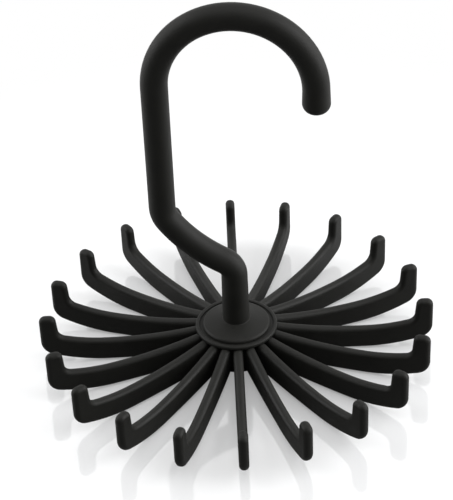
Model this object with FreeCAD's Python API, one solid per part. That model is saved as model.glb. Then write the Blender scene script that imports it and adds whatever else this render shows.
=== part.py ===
"""Swivel tie hanger: a rod hook that turns freely in a hub with twenty bow-shaped arms.

The origin is on the swivel axis, in the plane of the flat foot that the hanger stands on.
X runs across the hook, the whole hook lies in the XZ plane, and Z is up. All lengths are in
millimetres and all angles in degrees.
"""
import FreeCAD, Part
import math
import os

# Hub: the drum that carries the arms
hub_radius = 12.6
hub_underside = 1.6
hub_top = 12.2
hub_floor = 1.8
hub_rim_round = 0.5

# Arms: their side view, measured from the axis and from the plane of the foot
arm_count = 20
arm_phase = 7.3
arm_reach = 70.2
belly_reach = 46.5
belly_top = 8.9
belly_underside = 0.4
throat_height = 11.2
heel_height = 5.0
finger_top = 19.8
finger_base_depth = 6.6
finger_tip_depth = 5.8
finger_round = 2.3
throat_round = 3.2
heel_round = 5.5

# Arms: their width and their rounded edges
arm_width = 3.45
arm_least_gap = 0.02
arm_edge_round = 1.6
edge_round_limit_share = 0.47

# Keyed root of each arm, a neck with a round bead that drops into the hub from above
neck_width = 1.2
bead_radius = 1.0
bead_wall = 1.4
root_clearance = 0.05

# Ring that clamps the arms' roots, with the bearing sleeve below it
ring_radius = 14.6
ring_floor = 0.7
ring_lip_width = 1.5
ring_lip_height = 0.65
ring_round = 0.7
ring_recess_round = 0.5
ring_under_round = 0.25
sleeve_wall = 1.95
sleeve_length = 5.6
sleeve_clearance = 0.02

# Hook: foot disc in the ring's recess, which rises to the stem, and the spindle below it
foot_groove = 1.1
foot_thickness = 1.15
foot_rise = 1.85
foot_round = 1.0
spindle_radius = 3.5
spindle_chamfer = 0.4
running_clearance = 0.05

# Hook: the bent rod, with a stem that thickens towards the foot and a straight end
rod_radius = 4.62
stem_foot_radius = 4.86
stem_bend_height = 34.85
stem_bend_radius = 6.5
stem_foot_round = 0.3
run_low_slope = 28.0
run_high_slope = 55.0
leg_bend_radius = 9.5
crook_height = 110.05
crook_offset = 2.68
crook_radius = 26.63
crook_end_length = 8.2
crook_end_radius = 4.9
rod_end_round = 3.5

# Pocket under the hub, and the stack that holds the spindle in it
pocket_wall = 1.75
pocket_clearance = 0.25
axial_play = 0.15
thrust_washer_clearance = 0.6
thrust_washer_thickness = 0.8
steel_washer_clearance = 1.6
steel_washer_thickness = 0.8
screw_radius = 1.5
screw_length = 7.0
screw_head_radius = 2.8
screw_head_height = 1.4
screw_head_round = 0.7
screw_clearance = 0.05
pilot_spare_depth = 1.0

# Base cover: the flat foot, with a rim that plugs the pocket
cover_inset = 0.6
cover_round = 0.6
cover_rim_height = 1.4
cover_rim_wall = 1.2
cover_clearance = 0.05

# How far cuts run past what they cut, and how near an edge lies to the place it is looked for
overrun = 1.0
tolerance = 0.001

# Levels and radii that follow from the sizes above
axis = FreeCAD.Vector(0, 0, 1)
origin = FreeCAD.Vector(0, 0, 0)
recess_floor = hub_top + ring_floor
recess_radius = ring_radius - ring_lip_width
foot_radius = recess_radius - foot_groove
foot_edge = recess_floor + foot_thickness
foot_top = foot_edge + foot_rise
spindle_bore = spindle_radius + running_clearance
sleeve_radius = spindle_bore + sleeve_wall
sleeve_end = hub_top - sleeve_length
stack_height = axial_play + thrust_washer_thickness + steel_washer_thickness + screw_head_height
shoulder = hub_underside + stack_height + pocket_clearance
spindle_end = shoulder - axial_play - thrust_washer_thickness
steel_washer_under = spindle_end - steel_washer_thickness
screw_bore = screw_radius + screw_clearance
root_underside = hub_underside + hub_floor
bead_reach = hub_radius - bead_wall - bead_radius
pocket_radius = bead_reach - bead_radius - root_clearance - pocket_wall
thrust_washer_radius = pocket_radius - thrust_washer_clearance
steel_washer_radius = pocket_radius - steel_washer_clearance
cover_radius = hub_radius - cover_inset
arm_pitch = 2 * hub_radius * math.sin(math.pi / arm_count)
blade_width = min(arm_width, arm_pitch - arm_least_gap)


def at(reach, height):
    """Point in the XZ plane, at a distance from the axis and a height above the foot."""
    return FreeCAD.Vector(reach, 0, height)


def cylinder(radius, bottom, top):
    """Upright cylinder on the axis."""
    return Part.makeCylinder(radius, top - bottom, at(0, bottom))


def tube(outer, inner, bottom, top):
    """Upright tube on the axis."""
    return cylinder(outer, bottom, top).cut(cylinder(inner, bottom - overrun, top + overrun))


def turned(points):
    """Solid of revolution about the axis, from its half section."""
    outline = Part.makePolygon(points + points[:1])
    return Part.Face(outline).revolve(origin, axis, 360)


def same(length, other):
    """True for two lengths that agree within the tolerance."""
    return math.isclose(length, other, abs_tol=tolerance)


def circles(shape, radius, height):
    """Edges of a turned piece that lie on one circle about the axis."""
    def fits(box):
        return same(box.ZMin, height) and same(box.ZMax, height) and same(box.XMax, radius)
    return [edge for edge in shape.Edges if fits(edge.BoundBox)]


def around(shape, index):
    """Copy of a piece drawn along X, turned to its arm's place round the hub."""
    copy = shape.copy()
    copy.rotate(origin, axis, arm_phase + index * 360 / arm_count)
    return copy


def bow(lowest, end):
    """Arc that is level at the belly's lowest point and rises to an end point."""
    run = end.x - lowest.x
    rise = end.z - lowest.z
    radius = (run * run + rise * rise) / (2 * rise)
    half = run / 2
    drop = math.copysign(math.sqrt(radius * radius - half * half), radius)
    return Part.Arc(lowest, at(lowest.x + half, lowest.z + radius - drop), end).toShape()


def arm_outline():
    """Side view of an arm: seat under the ring, bowed top, upright finger, heel and bowed belly."""
    root = hub_radius - overrun
    corners = [
        at(ring_radius, hub_top),
        at(belly_reach, belly_top),
        at(arm_reach - finger_base_depth, throat_height),
        at(arm_reach - finger_tip_depth, finger_top),
        at(arm_reach, finger_top),
        at(arm_reach, heel_height),
        at(belly_reach, belly_underside),
        at(hub_radius, hub_underside),
        at(root, hub_underside),
        at(root, hub_top),
    ]
    seat, low_top, throat, tip_in, tip_out, heel, low_under, under, root_under, root_top = corners
    edges = [bow(low_top, seat), bow(low_top, throat), bow(low_under, heel), bow(low_under, under)]
    edges += Part.makePolygon([throat, tip_in, tip_out, heel]).Edges
    edges += Part.makePolygon([under, root_under, root_top, seat]).Edges
    outline = Part.Wire(Part.__sortEdges__(edges))
    rounds = [(throat, throat_round), (tip_in, finger_round), (tip_out, finger_round), (heel, heel_round)]
    return outline, rounds


def arm_blade():
    """The arm outside the hub, with its corners and then its long edges rounded."""
    outline, rounds = arm_outline()
    across = FreeCAD.Vector(0, blade_width, 0)
    blade = Part.Face(outline).extrude(across)
    blade.translate(across / -2)
    for corner, radius in rounds:
        blade = blade.makeFillet(radius, [edge for edge in blade.Edges if crosses(edge.BoundBox, corner)])
    long_edges = [edge for edge in blade.Edges if runs_out(edge.BoundBox)]
    return blade.makeFillet(min(arm_edge_round, blade_width * edge_round_limit_share), long_edges)


def crosses(box, corner):
    """True for the box of the edge that runs across the arm at one corner of its side view."""
    return same(box.YLength, blade_width) and same(box.Center.distanceToPoint(corner), 0)


def runs_out(box):
    """True for the box of an edge that lies in a flank of the arm and reaches out of the hub."""
    return same(box.YLength, 0) and box.XMax > hub_radius


def arm():
    """One arm along X: the blade seats on the drum, and its root is a neck with a round bead."""
    drum = cylinder(hub_radius + root_clearance, -overrun, finger_top)
    drum.rotate(origin, axis, 180)  # its seam faces away from the arm
    blade = arm_blade().cut(drum)
    height = hub_top - root_underside
    corner = FreeCAD.Vector(bead_reach, -neck_width / 2, root_underside)
    neck = Part.makeBox(hub_radius + overrun - bead_reach, neck_width, height, corner)
    bead = Part.makeCylinder(bead_radius, height, at(bead_reach, root_underside))
    return blade.fuse([neck, bead]).removeSplitter()


def arm_slot():
    """Keyhole slot that takes one arm's root, open at the top and at the drum's face."""
    height = hub_top - root_underside + overrun
    width = neck_width + 2 * root_clearance
    corner = FreeCAD.Vector(bead_reach, -width / 2, root_underside)
    neck = Part.makeBox(hub_radius + overrun - bead_reach, width, height, corner)
    bead = Part.makeCylinder(bead_radius + root_clearance, height, at(bead_reach, root_underside))
    return neck.fuse(bead)


def hub():
    """Drum with a ring of keyhole slots, the sleeve's bore from above and the pocket from below."""
    drum = cylinder(hub_radius, hub_underside, hub_top)
    drum = drum.makeFillet(hub_rim_round, circles(drum, hub_radius, hub_underside))
    cuts = [around(arm_slot(), index) for index in range(arm_count)]
    cuts.append(cylinder(sleeve_radius, sleeve_end, hub_top + overrun))
    cuts.append(cylinder(spindle_bore, hub_underside, hub_top))
    cuts.append(cylinder(pocket_radius, hub_underside - overrun, shoulder))
    return drum.cut(cuts)


def top_ring():
    """Ring with a recess for the hook's foot, and the sleeve that the spindle turns in."""
    sleeve = sleeve_radius - sleeve_clearance
    lip_top = recess_floor + ring_lip_height
    ring = turned([
        at(spindle_bore, sleeve_end), at(sleeve, sleeve_end), at(sleeve, hub_top),
        at(ring_radius, hub_top), at(ring_radius, lip_top), at(recess_radius, lip_top),
        at(recess_radius, recess_floor), at(spindle_bore, recess_floor),
    ])
    ring = ring.makeFillet(ring_round, circles(ring, ring_radius, lip_top))
    ring = ring.makeFillet(ring_recess_round, circles(ring, recess_radius, lip_top))
    return ring.makeFillet(ring_under_round, circles(ring, ring_radius, hub_top))


class RodPath:
    """Centre line of a bent rod in the XZ plane, added to as on a bending bench."""

    def __init__(self, start, heading):
        self.edges = []
        self.end = start
        self.heading = heading

    def straight(self, height):
        """Runs straight to a height."""
        rise = (height - self.end.z) / math.sin(math.radians(self.heading))
        goal = self.end + direction(self.heading) * rise
        self.edges.append(Part.makeLine(self.end, goal))
        self.end = goal

    def bend(self, radius, turn):
        """Bends by an angle, to the left where it is positive."""
        side = math.copysign(90, turn)
        centre = self.end + direction(self.heading + side) * radius
        middle = centre + direction(self.heading - side + turn / 2) * radius
        goal = centre + direction(self.heading - side + turn) * radius
        self.edges.append(Part.Arc(self.end, middle, goal).toShape())
        self.end = goal
        self.heading += turn


def direction(angle):
    """Unit vector in the XZ plane, at an angle above X."""
    return at(math.cos(math.radians(angle)), math.sin(math.radians(angle)))


def hook_path():
    """From the stem: tight bend, slanted run that steepens, leg, and the crook over the axis."""
    low = math.sin(math.radians(run_low_slope))
    high = math.sin(math.radians(run_high_slope))
    leg_offset = crook_radius - crook_offset
    across = leg_offset - stem_bend_radius * (1 - low) - leg_bend_radius * (1 - high)
    run_radius = across / (high - low)
    path = RodPath(at(0, stem_bend_height), 90)
    path.bend(stem_bend_radius, 90 - run_low_slope)
    path.bend(run_radius, run_low_slope - run_high_slope)
    path.bend(leg_bend_radius, run_high_slope - 90)
    path.straight(crook_height)
    path.bend(crook_radius, -180)
    return path


def bent_rod():
    """Round rod along the hook's centre line, with a straight end that thickens to a rounded tip."""
    path = hook_path()
    section = Part.Face(Part.Wire(Part.makeCircle(rod_radius, at(0, stem_bend_height), axis)))
    rod = Part.Wire(path.edges).makePipe(section)
    end = Part.makeCone(rod_radius, crook_end_radius, crook_end_length, path.end, axis * -1)
    tip = path.end - axis * crook_end_length
    rims = [edge for edge in end.Edges if same(edge.BoundBox.Center.distanceToPoint(tip), 0)]
    return rod.fuse(end.makeFillet(rod_end_round, rims))


def hook():
    """Stem, rod, foot disc and spindle in one moulding, with the pilot hole for the screw."""
    stem = turned([
        at(0, recess_floor), at(foot_radius, recess_floor), at(foot_radius, foot_edge),
        at(stem_foot_radius, foot_top), at(rod_radius, stem_bend_height), at(0, stem_bend_height),
    ])
    stem = stem.makeFillet(foot_round, circles(stem, foot_radius, foot_edge))
    stem = stem.makeFillet(stem_foot_round, circles(stem, stem_foot_radius, foot_top))
    spindle = cylinder(spindle_radius, spindle_end, recess_floor)
    spindle = spindle.makeChamfer(spindle_chamfer, circles(spindle, spindle_radius, spindle_end))
    whole = bent_rod().fuse([stem, spindle]).removeSplitter()
    pilot_end = steel_washer_under + screw_length + pilot_spare_depth
    return whole.cut(cylinder(screw_bore, spindle_end - overrun, pilot_end))


def thrust_washer():
    """Plastic washer on the spindle, under the hub's shoulder."""
    return tube(thrust_washer_radius, spindle_bore, spindle_end, spindle_end + thrust_washer_thickness)


def retaining_washer():
    """Steel washer against the end of the spindle."""
    return tube(steel_washer_radius, screw_bore, steel_washer_under, spindle_end)


def retaining_screw():
    """Pan head screw up into the spindle."""
    head_under = steel_washer_under - screw_head_height
    head = cylinder(screw_head_radius, head_under, steel_washer_under)
    head = head.makeFillet(screw_head_round, circles(head, screw_head_radius, head_under))
    shank = cylinder(screw_radius, steel_washer_under, steel_washer_under + screw_length)
    return head.fuse(shank).removeSplitter()


def base_cover():
    """Flat foot below the hub, with a rim that plugs the pocket."""
    foot = cylinder(cover_radius, 0, hub_underside)
    foot = foot.makeFillet(cover_round, circles(foot, cover_radius, 0))
    rim_outer = pocket_radius - cover_clearance
    rim = tube(rim_outer, rim_outer - cover_rim_wall, hub_underside, hub_underside + cover_rim_height)
    return foot.fuse(rim).removeSplitter()


def main():
    """Builds every piece and writes each to its own file."""
    os.makedirs("parts", exist_ok=True)
    pieces = {piece.__name__: piece() for piece in (
        hub, top_ring, hook, thrust_washer, retaining_washer, retaining_screw, base_cover)}
    one_arm = arm()
    for index in range(arm_count):
        pieces[f"arm_{index + 1:02d}"] = around(one_arm, index)
    for name, shape in pieces.items():
        shape.exportStep(f"parts/{name}.step")


main()
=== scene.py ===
import math

import bpy
from mathutils import Matrix, Vector


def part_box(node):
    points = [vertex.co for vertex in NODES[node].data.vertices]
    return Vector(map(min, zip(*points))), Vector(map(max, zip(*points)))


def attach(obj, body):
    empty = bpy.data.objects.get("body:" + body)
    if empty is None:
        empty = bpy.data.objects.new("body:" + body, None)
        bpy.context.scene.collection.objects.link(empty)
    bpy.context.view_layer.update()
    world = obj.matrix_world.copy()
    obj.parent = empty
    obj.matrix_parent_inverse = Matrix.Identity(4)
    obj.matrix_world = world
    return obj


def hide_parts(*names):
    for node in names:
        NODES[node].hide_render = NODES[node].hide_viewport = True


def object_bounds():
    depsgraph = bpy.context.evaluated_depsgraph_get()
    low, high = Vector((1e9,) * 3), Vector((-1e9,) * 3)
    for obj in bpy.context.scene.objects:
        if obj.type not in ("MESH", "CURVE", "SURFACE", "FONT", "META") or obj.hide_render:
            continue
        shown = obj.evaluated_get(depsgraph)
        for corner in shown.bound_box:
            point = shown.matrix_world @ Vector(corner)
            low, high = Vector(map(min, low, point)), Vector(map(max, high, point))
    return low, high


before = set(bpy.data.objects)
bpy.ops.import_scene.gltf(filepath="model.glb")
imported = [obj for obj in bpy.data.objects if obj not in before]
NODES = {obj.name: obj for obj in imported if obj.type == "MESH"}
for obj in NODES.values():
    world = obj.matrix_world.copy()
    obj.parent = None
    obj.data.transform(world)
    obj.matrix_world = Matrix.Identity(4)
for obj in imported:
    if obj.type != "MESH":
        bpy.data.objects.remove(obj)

bl_info = {
    "name": "Swivel Tie Hanger",
    "version": (1, 0, 0),
    "blender": (4, 5, 0),
    "location": "3D View > Sidebar > Tie Hanger",
    "description": "Finishes the pieces of a swivel tie hanger and stands it on a white studio table",
    "category": "Object",
}

CAD_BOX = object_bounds()
ARMS = sorted(name for name in NODES if name.startswith("arm_"))
MM = 0.001
WHITE = (1.0, 1.0, 1.0, 1.0)

# Mould grain: the range of the noise over which clouds come up, and how lively both noises are
CLOUDS_FROM = 0.3
CLOUDS_TO = 0.7
CLOUD_DETAIL = 2.0
CLOUD_DISTORTION = 0.6
PIT_DETAIL = 3.0
PIT_ROUGHNESS = 0.6

# Black plastic: what clouds and rubbing do to it
BLACK_SHADE_SPREAD_SHARE = 0.12
BLACK_ROUGHNESS_SPREAD = 0.03
BLACK_SHEEN_ROUGHNESS = 0.4
POLISH_SMOOTHING = 0.08

# Where ties rub on an arm: distances from the axis and heights above the foot, each from none to full
RUB_INNER = (20 * MM, 35 * MM)
RUB_OUTER = (62 * MM, 52 * MM)
RUB_HEIGHT = (6 * MM, 9 * MM)

# White washer and zinc plating
WASHER_GRAIN_SIZE = 0.25 * MM
WASHER_GRAIN_DEPTH = 0.004 * MM
WASHER_FLOW_SIZE = 3 * MM
WASHER_DARKEST_SHARE = 0.94
WASHER_ROUGHNESS = 0.38
ZINC_GRAIN_SIZE = 0.12 * MM
ZINC_GRAIN_DEPTH = 0.003 * MM
ZINC_FLOW_SIZE = 1.2 * MM
ZINC_ROUGHNESS_SPREAD = 0.06

# Screw: steps of its round forms, and the angle in degrees up to which they are shaded smooth
SCREW_SIDES = 48
HEAD_ROUND_STEPS = 6
THREAD_STEPS = 32
SMOOTH_ANGLE = 35

# Screw: how squarely a face points along an axis to be picked there
CAP_FACING = 0.5
END_FACING = 0.9

# Screw: shares of the sizes that its forms follow, and the turns over which its thread runs out
RECESS_FLOOR_SHARE = 0.5
TIP_SHARE = 0.4
THREAD_FOOT_SHARE = 0.96
THREAD_HALF_WIDTH_SHARE = 0.32
THREAD_CREST_SHARE = 0.25
THREAD_SPARE_SHARE = 0.8
MERGE_SHARE = 0.001
END_PLACE_SHARE = 0.01
RUN_OUT_SHARE = 0.7
RUN_OUT_TURNS = 2

# Lamps, in metres and degrees
SIDE_LAMP_SIZE = 0.8
SIDE_LAMP_DISTANCE = 0.8
SIDE_LAMP_AZIMUTH = 95
SIDE_LAMP_ELEVATION = 22
TOP_LAMP_SIZE = 0.9
TOP_LAMP_DISTANCE = 1.0
TOP_LAMP_ELEVATION = 88

# Table and light tent: how far back each lies before it is background in reflections, from none to full,
# and the tent's fade from its dim to its bright side, in cosines of the angle between them
TABLE_IOR = 1.75
TABLE_BACK = (0.0, 0.15)
TENT_BACK = (0.4, 1.0)
TENT_FADE = (-0.7, 0.9)

# Nearest that the camera sees
NEAR_CLIP = 10 * MM


class PlasticFinish(bpy.types.PropertyGroup):
    """Satin black plastic of every moulded piece that shows."""

    colour: bpy.props.FloatVectorProperty(
        name="Colour", description="Colour of the moulded plastic",
        subtype="COLOR", size=3, min=0, max=1, default=(0.0088, 0.0088, 0.0074))
    roughness: bpy.props.FloatProperty(
        name="Roughness", description="How widely the satin surface spreads a highlight",
        subtype="FACTOR", min=0, max=1, default=0.55)
    specular: bpy.props.FloatProperty(
        name="Specular", description="Strength of the surface's reflections, 0.5 for plain plastic",
        subtype="FACTOR", min=0, max=1, default=0.22)
    sheen: bpy.props.FloatProperty(
        name="Sheen", description="Velvety brightening of the soft-touch surface at a grazing view",
        subtype="FACTOR", min=0, max=1, default=0.02)
    grain_size: bpy.props.FloatProperty(
        name="Grain Size", description="Width of the fine pits that the mould leaves",
        unit="LENGTH", min=0.00005, max=0.005, default=0.4 * MM)
    grain_depth: bpy.props.FloatProperty(
        name="Grain Depth", description="Depth of those pits",
        unit="LENGTH", min=0, max=0.001, default=0.055 * MM)
    flow_size: bpy.props.FloatProperty(
        name="Flow Size", description="Width of the faint clouds that the melt leaves as it sets",
        unit="LENGTH", min=0.001, max=0.1, default=9 * MM)


class HardwareFinish(bpy.types.PropertyGroup):
    """Washers and screw inside the hub."""

    washer_colour: bpy.props.FloatVectorProperty(
        name="Washer Colour", description="Natural colour of the thrust washer's plastic",
        subtype="COLOR", size=3, min=0, max=1, default=(0.78, 0.77, 0.72))
    zinc_colour: bpy.props.FloatVectorProperty(
        name="Zinc Colour", description="Colour of the zinc plating",
        subtype="COLOR", size=3, min=0, max=1, default=(0.62, 0.63, 0.65))
    zinc_roughness: bpy.props.FloatProperty(
        name="Zinc Roughness", description="Roughness of the zinc plating",
        subtype="FACTOR", min=0, max=1, default=0.32)


class ScrewShape(bpy.types.PropertyGroup):
    """Pan head screw that holds the stack together."""

    head_height: bpy.props.FloatProperty(
        name="Head Height", description="Height of the pan head",
        unit="LENGTH", min=0.0005, max=0.005, default=1.4 * MM)
    head_round: bpy.props.FloatProperty(
        name="Head Round", description="Rounding of the pan head's rim",
        unit="LENGTH", min=0, max=0.001, default=0.7 * MM)
    recess_reach: bpy.props.FloatProperty(
        name="Recess Reach", description="Reach of each arm of the cross recess from the axis",
        unit="LENGTH", min=0, max=0.003, default=1.55 * MM)
    recess_width: bpy.props.FloatProperty(
        name="Recess Width", description="Width of each arm of the cross recess",
        unit="LENGTH", min=0, max=0.002, default=0.62 * MM)
    recess_depth: bpy.props.FloatProperty(
        name="Recess Depth", description="Depth of the cross recess",
        unit="LENGTH", min=0, max=0.003, default=0.95 * MM)
    thread_radius: bpy.props.FloatProperty(
        name="Thread Radius", description="Radius over the thread",
        unit="LENGTH", min=0.0005, max=0.005, default=1.5 * MM)
    core_radius: bpy.props.FloatProperty(
        name="Core Radius", description="Radius of the core below the thread",
        unit="LENGTH", min=0.0005, max=0.005, default=1.08 * MM)
    pitch: bpy.props.FloatProperty(
        name="Pitch", description="Rise of the thread in one turn",
        unit="LENGTH", min=0.0002, max=0.005, default=0.9 * MM)
    neck_height: bpy.props.FloatProperty(
        name="Neck Height", description="Height of the plain neck that goes through the washer",
        unit="LENGTH", min=0, max=0.005, default=0.9 * MM)
    tip_height: bpy.props.FloatProperty(
        name="Tip Height", description="Height of the blunt point that leads the screw in",
        unit="LENGTH", min=0, max=0.005, default=0.7 * MM)


class StudioStage(bpy.types.PropertyGroup):
    """White table, lamps and camera."""

    table_size: bpy.props.FloatProperty(
        name="Table Size", description="Side of the square table top",
        unit="LENGTH", min=0.5, max=20, default=6.0)
    table_colour: bpy.props.FloatVectorProperty(
        name="Table Colour", description="Colour of the table top",
        subtype="COLOR", size=3, min=0, max=1, default=(0.62, 0.625, 0.63))
    table_glow: bpy.props.FloatProperty(
        name="Table Glow", description="White light that comes through the table from below",
        subtype="FACTOR", min=0, max=1, default=0.28)
    table_roughness: bpy.props.FloatProperty(
        name="Table Roughness", description="How blurred reflections in the table are",
        subtype="FACTOR", min=0, max=1, default=0.06)
    white_from: bpy.props.FloatProperty(
        name="White From", description="Distance from the axis at which the table starts to fade to white",
        unit="LENGTH", min=0, max=2, default=0.115)
    white_to: bpy.props.FloatProperty(
        name="White To", description="Distance from the axis at which the table is all white",
        unit="LENGTH", min=0, max=4, default=0.22)
    bounce_colour: bpy.props.FloatVectorProperty(
        name="Bounce Colour", description="Colour of the table in the hanger's reflections",
        subtype="COLOR", size=3, min=0, max=1, default=(0.19, 0.19, 0.185))
    bright_side: bpy.props.FloatVectorProperty(
        name="Bright Side", description="Direction of the brightest part of the light tent",
        subtype="DIRECTION", size=3, default=(0.55, 0.55, 0.63))
    ambient: bpy.props.FloatProperty(
        name="Ambient", description="Strength of the light tent at its bright side",
        min=0, max=4, default=0.82)
    dim_share: bpy.props.FloatProperty(
        name="Dim Share", description="Strength of the light tent opposite to that, as a share of it",
        subtype="FACTOR", min=0, max=1, default=0.06)
    key_power: bpy.props.FloatProperty(
        name="Key Power", description="Power of the large lamp on the right",
        unit="POWER", min=0, max=200, default=7.0)
    top_power: bpy.props.FloatProperty(
        name="Top Power", description="Power of the lamp overhead",
        unit="POWER", min=0, max=200, default=2.4)
    fill_power: bpy.props.FloatProperty(
        name="Fill Power", description="Power of the large lamp on the left",
        unit="POWER", min=0, max=200, default=5.0)
    aim: bpy.props.FloatVectorProperty(
        name="Aim", description="Point in the middle of the picture",
        subtype="TRANSLATION", unit="LENGTH", size=3, default=(-2.375 * MM, -0.295 * MM, 45.34 * MM))
    distance: bpy.props.FloatProperty(
        name="Distance", description="Distance from the camera to the aim",
        unit="LENGTH", min=0.05, max=10, default=637.8 * MM)
    azimuth: bpy.props.FloatProperty(
        name="Azimuth", description="Turn of the camera round the hanger, from the front towards the right",
        subtype="ANGLE", default=math.radians(7.08))
    elevation: bpy.props.FloatProperty(
        name="Elevation", description="Angle of the camera above the table",
        subtype="ANGLE", default=math.radians(35.657))
    roll: bpy.props.FloatProperty(
        name="Roll", description="Tilt of the picture",
        subtype="ANGLE", default=math.radians(-2.567))
    lens: bpy.props.FloatProperty(
        name="Lens", description="Focal length in millimetres on a 36 mm sensor",
        min=10, max=400, default=132.4)


class Nodes:
    """Adds shader nodes to a tree and links them, so that it reads from its inputs to its output."""

    def __init__(self, tree):
        self.tree = tree
        tree.nodes.clear()

    def add(self, kind, settings=None, **inputs):
        """A node of that kind. An input has its socket's name, or its number as in _6, and is a value for
        that socket or another socket to link to it."""
        node = self.tree.nodes.new(kind)
        for name, value in (settings or {}).items():
            setattr(node, name, value)
        for name, value in inputs.items():
            key = int(name[1:]) if name[1:].isdigit() else name.replace("_", " ")
            if isinstance(value, bpy.types.NodeSocket):
                self.tree.links.new(value, node.inputs[key])
            else:
                node.inputs[key].default_value = value
        return node

    def math(self, operation, *values):
        """Result of a Math node."""
        return self.add("ShaderNodeMath", {"operation": operation},
                        **{f"_{i}": value for i, value in enumerate(values)}).outputs[0]

    def ramp(self, value, low, high, to_low=0.0, to_high=1.0):
        """A value carried smoothly from one range to another."""
        return self.add("ShaderNodeMapRange", {"interpolation_type": "SMOOTHSTEP"}, Value=value,
                        From_Min=low, From_Max=high, To_Min=to_low, To_Max=to_high).outputs[0]

    def tint(self, colour, shade):
        """A plain colour times a shade."""
        return self.add("ShaderNodeMix", {"data_type": "RGBA", "blend_type": "MULTIPLY"}, _0=1.0,
                        _6=(*colour, 1.0), _7=shade).outputs[2]

    def grain(self, grain_size, flow_size):
        """Place on the piece, and the pits and clouds of the mould there."""
        place = self.add("ShaderNodeTexCoord").outputs["Object"]
        group = self.add("ShaderNodeGroup", {"node_tree": mould_grain()}, Vector=place,
                         Grain_Size=grain_size, Flow_Size=flow_size).outputs
        return place, group["Pits"], group["Clouds"]

    def pitted(self, pits, depth):
        """Normal of a surface with pits."""
        return self.add("ShaderNodeBump", Height=pits, Distance=depth, Strength=1.0).outputs[0]

    def spread(self, clouds, middle, reach):
        """A value that strays from its middle with the clouds."""
        return self.ramp(clouds, CLOUDS_FROM, CLOUDS_TO, middle - reach, middle + reach)


def new_material(name):
    """An empty material and the helper that fills it."""
    material = bpy.data.materials.new(name)
    material.use_nodes = True
    return material, Nodes(material.node_tree)


def add_socket(group, name, kind, direction, default=None):
    """Adds one named socket to a node group."""
    made = group.interface.new_socket(name=name, in_out=direction, socket_type=kind)
    if default is not None:
        made.default_value = default


def mould_grain():
    """Node group for what a mould leaves on a surface: fine pits, and faint clouds where the melt set."""
    if "mould_grain" in bpy.data.node_groups:
        return bpy.data.node_groups["mould_grain"]
    group = bpy.data.node_groups.new("mould_grain", "ShaderNodeTree")
    add_socket(group, "Vector", "NodeSocketVector", "INPUT")
    add_socket(group, "Grain Size", "NodeSocketFloat", "INPUT", MM)
    add_socket(group, "Flow Size", "NodeSocketFloat", "INPUT", MM)
    add_socket(group, "Pits", "NodeSocketFloat", "OUTPUT")
    add_socket(group, "Clouds", "NodeSocketFloat", "OUTPUT")
    nodes = Nodes(group)
    given = nodes.add("NodeGroupInput").outputs
    grain_scale = nodes.math("DIVIDE", 1.0, given["Grain Size"])
    flow_scale = nodes.math("DIVIDE", 1.0, given["Flow Size"])
    pits = nodes.add("ShaderNodeTexNoise", Vector=given["Vector"], Scale=grain_scale, Detail=PIT_DETAIL,
                     Roughness=PIT_ROUGHNESS)
    clouds = nodes.add("ShaderNodeTexNoise", Vector=given["Vector"], Scale=flow_scale, Detail=CLOUD_DETAIL,
                       Distortion=CLOUD_DISTORTION)
    nodes.add("NodeGroupOutput", Pits=pits.outputs[0], Clouds=clouds.outputs[0])
    return group


def satin_black(name, finish, polish=None):
    """Soft-touch black plastic. Polish puts out how far handling has smoothed the surface, from 0 to 1."""
    material, nodes = new_material(name)
    place, pits, clouds = nodes.grain(finish.grain_size, finish.flow_size)
    colour = nodes.tint(finish.colour, nodes.spread(clouds, 1.0, BLACK_SHADE_SPREAD_SHARE))
    rough = nodes.spread(clouds, finish.roughness, BLACK_ROUGHNESS_SPREAD)
    if polish:
        smoothing = nodes.math("MULTIPLY", polish(nodes, place), POLISH_SMOOTHING)
        rough = nodes.math("SUBTRACT", rough, smoothing)
    shader = nodes.add("ShaderNodeBsdfPrincipled", Base_Color=colour, Roughness=rough,
                       Normal=nodes.pitted(pits, finish.grain_depth), Specular_IOR_Level=finish.specular,
                       Sheen_Weight=finish.sheen, Sheen_Roughness=BLACK_SHEEN_ROUGHNESS)
    nodes.add("ShaderNodeOutputMaterial", Surface=shader.outputs[0])
    return material


def arm_polish(nodes, place):
    """Where ties rub on the arms: their tops, between the ring and the fingers."""
    axes = nodes.add("ShaderNodeSeparateXYZ", Vector=place).outputs
    squares = [nodes.math("MULTIPLY", axes[name], axes[name]) for name in "XY"]
    reach = nodes.math("SQRT", nodes.math("ADD", *squares))
    along = nodes.math("MULTIPLY", nodes.ramp(reach, *RUB_INNER), nodes.ramp(reach, *RUB_OUTER))
    return nodes.math("MULTIPLY", along, nodes.ramp(axes["Z"], *RUB_HEIGHT))


def finish_nodes(names, material):
    """Gives CAD nodes their material."""
    for name in names:
        NODES[name].data.materials[0] = material


class TIEHANGER_OT_arms(bpy.types.Operator):
    """Finishes the twenty arms in satin black, a little smoother where ties rub on them"""

    bl_idname = "tiehanger.arms"
    bl_label = "Arms"

    def execute(self, context):
        finish_nodes(ARMS, satin_black("arm_plastic", context.scene.tiehanger_plastic, arm_polish))
        return {"FINISHED"}


class TIEHANGER_OT_hub(bpy.types.Operator):
    """Finishes the drum, its ring and the cover below it in satin black"""

    bl_idname = "tiehanger.hub"
    bl_label = "Hub, Ring and Cover"

    def execute(self, context):
        plastic = satin_black("hub_plastic", context.scene.tiehanger_plastic)
        finish_nodes(("hub", "top_ring", "base_cover"), plastic)
        return {"FINISHED"}


class TIEHANGER_OT_hook(bpy.types.Operator):
    """Finishes the swivelling hook in satin black"""

    bl_idname = "tiehanger.hook"
    bl_label = "Hook"

    def execute(self, context):
        finish_nodes(("hook",), satin_black("hook_plastic", context.scene.tiehanger_plastic))
        return {"FINISHED"}


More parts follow.
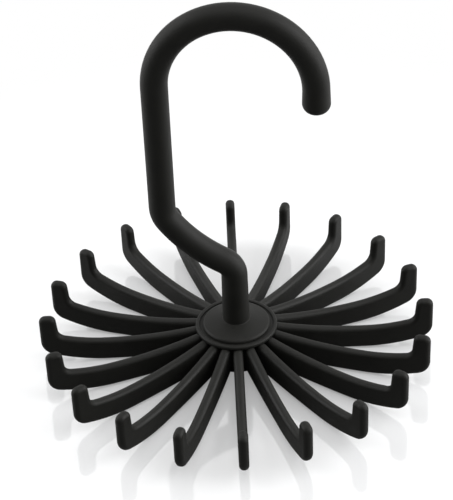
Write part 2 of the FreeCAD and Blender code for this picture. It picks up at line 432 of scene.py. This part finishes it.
def washer_plastic(finish):
    """Natural white plastic, waxy and faintly clouded."""
    material, nodes = new_material("washer_plastic")
    _, pits, clouds = nodes.grain(WASHER_GRAIN_SIZE, WASHER_FLOW_SIZE)
    shade = nodes.ramp(clouds, CLOUDS_FROM, CLOUDS_TO, WASHER_DARKEST_SHARE, 1.0)
    shader = nodes.add("ShaderNodeBsdfPrincipled", Base_Color=nodes.tint(finish.washer_colour, shade),
                       Roughness=WASHER_ROUGHNESS, Normal=nodes.pitted(pits, WASHER_GRAIN_DEPTH))
    nodes.add("ShaderNodeOutputMaterial", Surface=shader.outputs[0])
    return material


def zinc_plate(name, finish):
    """Bright zinc on steel, with the faint mottling of a barrel plated part."""
    material, nodes = new_material(name)
    _, pits, clouds = nodes.grain(ZINC_GRAIN_SIZE, ZINC_FLOW_SIZE)
    rough = nodes.spread(clouds, finish.zinc_roughness, ZINC_ROUGHNESS_SPREAD)
    shader = nodes.add("ShaderNodeBsdfPrincipled", Base_Color=(*finish.zinc_colour, 1.0), Metallic=1.0,
                       Roughness=rough, Normal=nodes.pitted(pits, ZINC_GRAIN_DEPTH))
    nodes.add("ShaderNodeOutputMaterial", Surface=shader.outputs[0])
    return material


class TIEHANGER_OT_washers(bpy.types.Operator):
    """Finishes the two washers on the spindle"""

    bl_idname = "tiehanger.washers"
    bl_label = "Washers"

    def execute(self, context):
        finish = context.scene.tiehanger_hardware
        finish_nodes(("thrust_washer",), washer_plastic(finish))
        finish_nodes(("retaining_washer",), zinc_plate("zinc_washer", finish))
        return {"FINISHED"}


def select(piece, kind, fits):
    """Selects those vertices or faces of a piece that fit, and leaves it in edit mode."""
    bpy.ops.object.mode_set(mode="EDIT")
    bpy.ops.mesh.select_mode(type=kind)
    bpy.ops.mesh.select_all(action="DESELECT")
    bpy.ops.object.mode_set(mode="OBJECT")
    for part in piece.data.vertices if kind == "VERT" else piece.data.polygons:
        part.select = fits(part)
    bpy.ops.object.mode_set(mode="EDIT")


def screw_cylinder(radius, bottom, top):
    """Upright cylinder on the axis, with its place in its mesh."""
    bpy.ops.object.select_all(action="DESELECT")
    bpy.ops.mesh.primitive_cylinder_add(vertices=SCREW_SIDES, radius=radius, depth=top - bottom,
                                        location=(0, 0, (bottom + top) / 2))
    bpy.ops.object.transform_apply()
    return bpy.context.object


def screw_head(shape, radius, bottom):
    """Pan head, rounded below, with a cross recess that narrows as it goes in."""
    head = screw_cylinder(radius, bottom, bottom + shape.head_height)
    select(head, "FACE", lambda face: face.normal.z < -CAP_FACING)
    bpy.ops.mesh.bevel(offset=shape.head_round, segments=HEAD_ROUND_STEPS, affect="EDGES")
    bpy.ops.object.mode_set(mode="OBJECT")
    for turn in (0, math.pi / 2):
        bpy.ops.object.select_all(action="DESELECT")
        bpy.ops.mesh.primitive_cube_add(size=2, location=(0, 0, bottom), rotation=(0, 0, turn))
        blade = bpy.context.object
        blade.scale = (shape.recess_reach, shape.recess_width / 2, shape.recess_depth)
        bpy.ops.object.transform_apply()
        select(blade, "FACE", lambda face: face.normal.z > CAP_FACING)
        bpy.ops.transform.resize(value=(RECESS_FLOOR_SHARE, RECESS_FLOOR_SHARE, 1),
                                 center_override=(0, 0, bottom + shape.recess_depth))
        bpy.ops.object.mode_set(mode="OBJECT")
        bpy.context.view_layer.objects.active = head
        bpy.ops.object.modifier_add(type="BOOLEAN")
        recess = head.modifiers[-1]
        recess.operation = "DIFFERENCE"
        recess.object = blade
        bpy.ops.object.modifier_apply(modifier=recess.name)
        bpy.data.objects.remove(blade)
    return head


def screw_core(shape, bottom, top):
    """Core below the thread, drawn in to a blunt point."""
    core = screw_cylinder(shape.core_radius, bottom, top - shape.tip_height)
    select(core, "FACE", lambda face: face.normal.z > CAP_FACING)
    bpy.ops.mesh.extrude_region_move(TRANSFORM_OT_translate={"value": (0, 0, shape.tip_height)})
    bpy.ops.transform.resize(value=(TIP_SHARE, TIP_SHARE, 1), center_override=(0, 0, top))
    bpy.ops.object.mode_set(mode="OBJECT")
    return core


def screw_thread(shape, bottom, top):
    """Ridge with a narrowed crest that winds up round the core and sinks into it at both ends."""
    foot = shape.core_radius * THREAD_FOOT_SHARE
    middle = bottom + shape.pitch / 2
    bpy.ops.object.select_all(action="DESELECT")
    bpy.ops.mesh.primitive_plane_add(size=2, location=((foot + shape.thread_radius) / 2, 0, middle),
                                     rotation=(math.pi / 2, 0, 0))
    ridge = bpy.context.object
    ridge.scale = ((shape.thread_radius - foot) / 2, shape.pitch * THREAD_HALF_WIDTH_SHARE, 1)
    bpy.ops.object.transform_apply()
    select(ridge, "VERT", lambda vertex: vertex.co.x > shape.core_radius)
    bpy.ops.transform.resize(value=(1, 1, THREAD_CREST_SHARE), center_override=(0, 0, middle))
    bpy.ops.object.mode_set(mode="OBJECT")
    bpy.ops.object.modifier_add(type="SCREW")
    wind = ridge.modifiers[-1]
    wind.screw_offset = shape.pitch
    wind.iterations = int((top - bottom) / shape.pitch - THREAD_SPARE_SHARE)
    wind.steps = THREAD_STEPS
    wind.render_steps = THREAD_STEPS
    bpy.ops.object.modifier_apply(modifier=wind.name)
    bpy.ops.object.mode_set(mode="EDIT")
    bpy.ops.mesh.select_all(action="SELECT")
    bpy.ops.mesh.remove_doubles(threshold=shape.pitch * MERGE_SHARE)
    bpy.ops.mesh.fill_holes(sides=0)
    bpy.ops.mesh.normals_make_consistent(inside=False)
    near = shape.pitch * END_PLACE_SHARE
    select(ridge, "FACE", lambda face: abs(face.normal.y) > END_FACING and abs(face.center.y) < near)
    bpy.ops.transform.resize(value=(RUN_OUT_SHARE, RUN_OUT_SHARE, 1), center_override=(0, 0, bottom),
                             use_proportional_edit=True, use_proportional_connected=True,
                             proportional_size=RUN_OUT_TURNS * shape.pitch)
    bpy.ops.object.mode_set(mode="OBJECT")
    return ridge


class TIEHANGER_OT_screw(bpy.types.Operator):
    """Models the screw in the spindle with its cross recess and its thread"""

    bl_idname = "tiehanger.screw"
    bl_label = "Screw"

    def execute(self, context):
        shape = context.scene.tiehanger_screw
        low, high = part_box("retaining_screw")
        shank = low[2] + shape.head_height
        screw = screw_head(shape, high[0], low[2])
        parts = (screw, screw_core(shape, shank, high[2]),
                 screw_thread(shape, shank + shape.neck_height, high[2] - shape.tip_height))
        bpy.ops.object.select_all(action="DESELECT")
        for part in parts:
            part.select_set(True)
        context.view_layer.objects.active = screw
        bpy.ops.object.join()
        bpy.ops.object.shade_smooth_by_angle(angle=math.radians(SMOOTH_ANGLE))
        screw.name = "threaded_screw"
        screw.data.materials.append(zinc_plate("zinc_screw", context.scene.tiehanger_hardware))
        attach(screw, "hook")
        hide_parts("retaining_screw")
        return {"FINISHED"}


def background_rays(nodes, behind):
    """Marks the rays that see plain white: straight or through glass, and in gloss where it is behind."""
    path = nodes.add("ShaderNodeLightPath").outputs
    direct = nodes.math("MAXIMUM", path["Is Camera Ray"], path["Is Transmission Ray"])
    return nodes.math("MAXIMUM", direct, nodes.math("MULTIPLY", path["Is Glossy Ray"], behind))


def table_white(stage):
    """Glossy white table, with shadows and reflections near the hanger and plain white far off."""
    material, nodes = new_material("table_white")
    place = nodes.add("ShaderNodeTexCoord").outputs["Object"]
    reach = nodes.add("ShaderNodeVectorMath", {"operation": "LENGTH"}, _0=place).outputs["Value"]
    far = nodes.ramp(reach, stage.white_from, stage.white_to)
    back = nodes.add("ShaderNodeSeparateXYZ", Vector=place).outputs["Y"]
    seen = background_rays(nodes, nodes.ramp(back, *TABLE_BACK))
    colour = nodes.add("ShaderNodeMix", {"data_type": "RGBA"}, _0=seen, _6=(*stage.bounce_colour, 1.0),
                       _7=(*stage.table_colour, 1.0)).outputs[2]
    table = nodes.add("ShaderNodeBsdfPrincipled", Base_Color=colour, Roughness=stage.table_roughness,
                      IOR=TABLE_IOR, Specular_IOR_Level=1.0, Emission_Color=WHITE,
                      Emission_Strength=nodes.math("MULTIPLY", seen, stage.table_glow))
    white = nodes.add("ShaderNodeEmission", Color=WHITE, Strength=1.0)
    mix = nodes.add("ShaderNodeMixShader", _0=nodes.math("MULTIPLY", far, seen), _1=table.outputs[0],
                    _2=white.outputs[0])
    nodes.add("ShaderNodeOutputMaterial", Surface=mix.outputs[0])
    return material


def studio_world(stage):
    """Light tent that is brightest at the back right, and plain white where it is the background."""
    world = bpy.data.worlds.new("studio_world")
    world.use_nodes = True
    nodes = Nodes(world.node_tree)
    ray = nodes.add("ShaderNodeTexCoord").outputs["Generated"]
    side = nodes.add("ShaderNodeVectorMath", {"operation": "DOT_PRODUCT"}, _0=ray,
                     _1=Vector(stage.bright_side).normalized()).outputs["Value"]
    tent = nodes.ramp(side, *TENT_FADE, stage.ambient * stage.dim_share, stage.ambient)
    back = nodes.add("ShaderNodeSeparateXYZ", Vector=ray).outputs["Y"]
    seen = background_rays(nodes, nodes.ramp(back, *TENT_BACK))
    strength = nodes.add("ShaderNodeMix", _0=seen, _2=tent, _3=1.0).outputs[0]
    white = nodes.add("ShaderNodeBackground", Color=WHITE, Strength=strength)
    nodes.add("ShaderNodeOutputWorld", Surface=white.outputs[0])
    bpy.context.scene.world = world


def facing(point, azimuth, elevation, distance, roll=0.0):
    """Place of a lamp or camera that looks at a point, from angles round it and above the table."""
    turn = Matrix.Rotation(azimuth, 4, "Z") @ Matrix.Rotation(math.pi / 2 - elevation, 4, "X")
    away = Matrix.Rotation(roll, 4, "Z") @ Matrix.Translation((0, 0, distance))
    return Matrix.Translation(point) @ turn @ away


def softbox(name, power, size, azimuth, elevation, distance):
    """Square lamp on a sphere round the hanger, facing its middle, with its angles in degrees."""
    middle = (CAD_BOX[0] + CAD_BOX[1]) / 2
    bpy.ops.object.light_add(type="AREA")
    lamp = bpy.context.object
    lamp.name = name
    lamp.data.energy = power
    lamp.data.size = size
    lamp.matrix_world = facing(middle, math.radians(azimuth), math.radians(elevation), distance)


class TIEHANGER_OT_stage(bpy.types.Operator):
    """Adds the white table, the lamps and the camera"""

    bl_idname = "tiehanger.stage"
    bl_label = "Table, Lamps and Camera"

    def execute(self, context):
        stage = context.scene.tiehanger_stage
        bpy.ops.object.select_all(action="DESELECT")
        bpy.ops.mesh.primitive_plane_add(size=stage.table_size)
        table = context.object
        table.name = "table"
        table.data.materials.append(table_white(stage))
        studio_world(stage)
        softbox("key_lamp", stage.key_power, SIDE_LAMP_SIZE,
                SIDE_LAMP_AZIMUTH, SIDE_LAMP_ELEVATION, SIDE_LAMP_DISTANCE)
        softbox("top_lamp", stage.top_power, TOP_LAMP_SIZE, 0, TOP_LAMP_ELEVATION, TOP_LAMP_DISTANCE)
        softbox("fill_lamp", stage.fill_power, SIDE_LAMP_SIZE,
                -SIDE_LAMP_AZIMUTH, SIDE_LAMP_ELEVATION, SIDE_LAMP_DISTANCE)
        bpy.ops.object.camera_add()
        camera = context.object
        camera.name = "camera"
        camera.matrix_world = facing(stage.aim, stage.azimuth, stage.elevation, stage.distance, stage.roll)
        camera.data.lens = stage.lens
        camera.data.clip_start = NEAR_CLIP
        context.scene.camera = camera
        context.scene.view_settings.view_transform = "Standard"
        return {"FINISHED"}


class TIEHANGER_PT_panel(bpy.types.Panel):
    """Sidebar panel that lists the hanger's pieces and their settings"""

    bl_idname = "TIEHANGER_PT_panel"
    bl_label = "Tie Hanger"
    bl_space_type = "VIEW_3D"
    bl_region_type = "UI"
    bl_category = "Tie Hanger"

    def draw(self, context):
        for group in SETTINGS:
            box = self.layout.box()
            settings = getattr(context.scene, group)
            for name in settings.__annotations__:
                box.prop(settings, name)
        for operator in OPERATORS:
            self.layout.operator(operator.bl_idname)


SETTINGS = {
    "tiehanger_plastic": PlasticFinish,
    "tiehanger_hardware": HardwareFinish,
    "tiehanger_screw": ScrewShape,
    "tiehanger_stage": StudioStage,
}
OPERATORS = (
    TIEHANGER_OT_arms,
    TIEHANGER_OT_hub,
    TIEHANGER_OT_hook,
    TIEHANGER_OT_washers,
    TIEHANGER_OT_screw,
    TIEHANGER_OT_stage,
)
CLASSES = (*SETTINGS.values(), *OPERATORS, TIEHANGER_PT_panel)


def register():
    """Registers the classes and adds the settings to the scene."""
    for cls in CLASSES:
        bpy.utils.register_class(cls)
    for name, cls in SETTINGS.items():
        setattr(bpy.types.Scene, name, bpy.props.PointerProperty(type=cls))


def unregister():
    """Takes out what register added."""
    for name in SETTINGS:
        delattr(bpy.types.Scene, name)
    for cls in reversed(CLASSES):
        bpy.utils.unregister_class(cls)


def main():
    """Registers the add-on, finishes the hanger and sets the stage."""
    register()
    bpy.ops.tiehanger.arms()
    bpy.ops.tiehanger.hub()
    bpy.ops.tiehanger.hook()
    bpy.ops.tiehanger.washers()
    bpy.ops.tiehanger.screw()
    bpy.ops.tiehanger.stage()


if __name__ == "__main__":
    main()
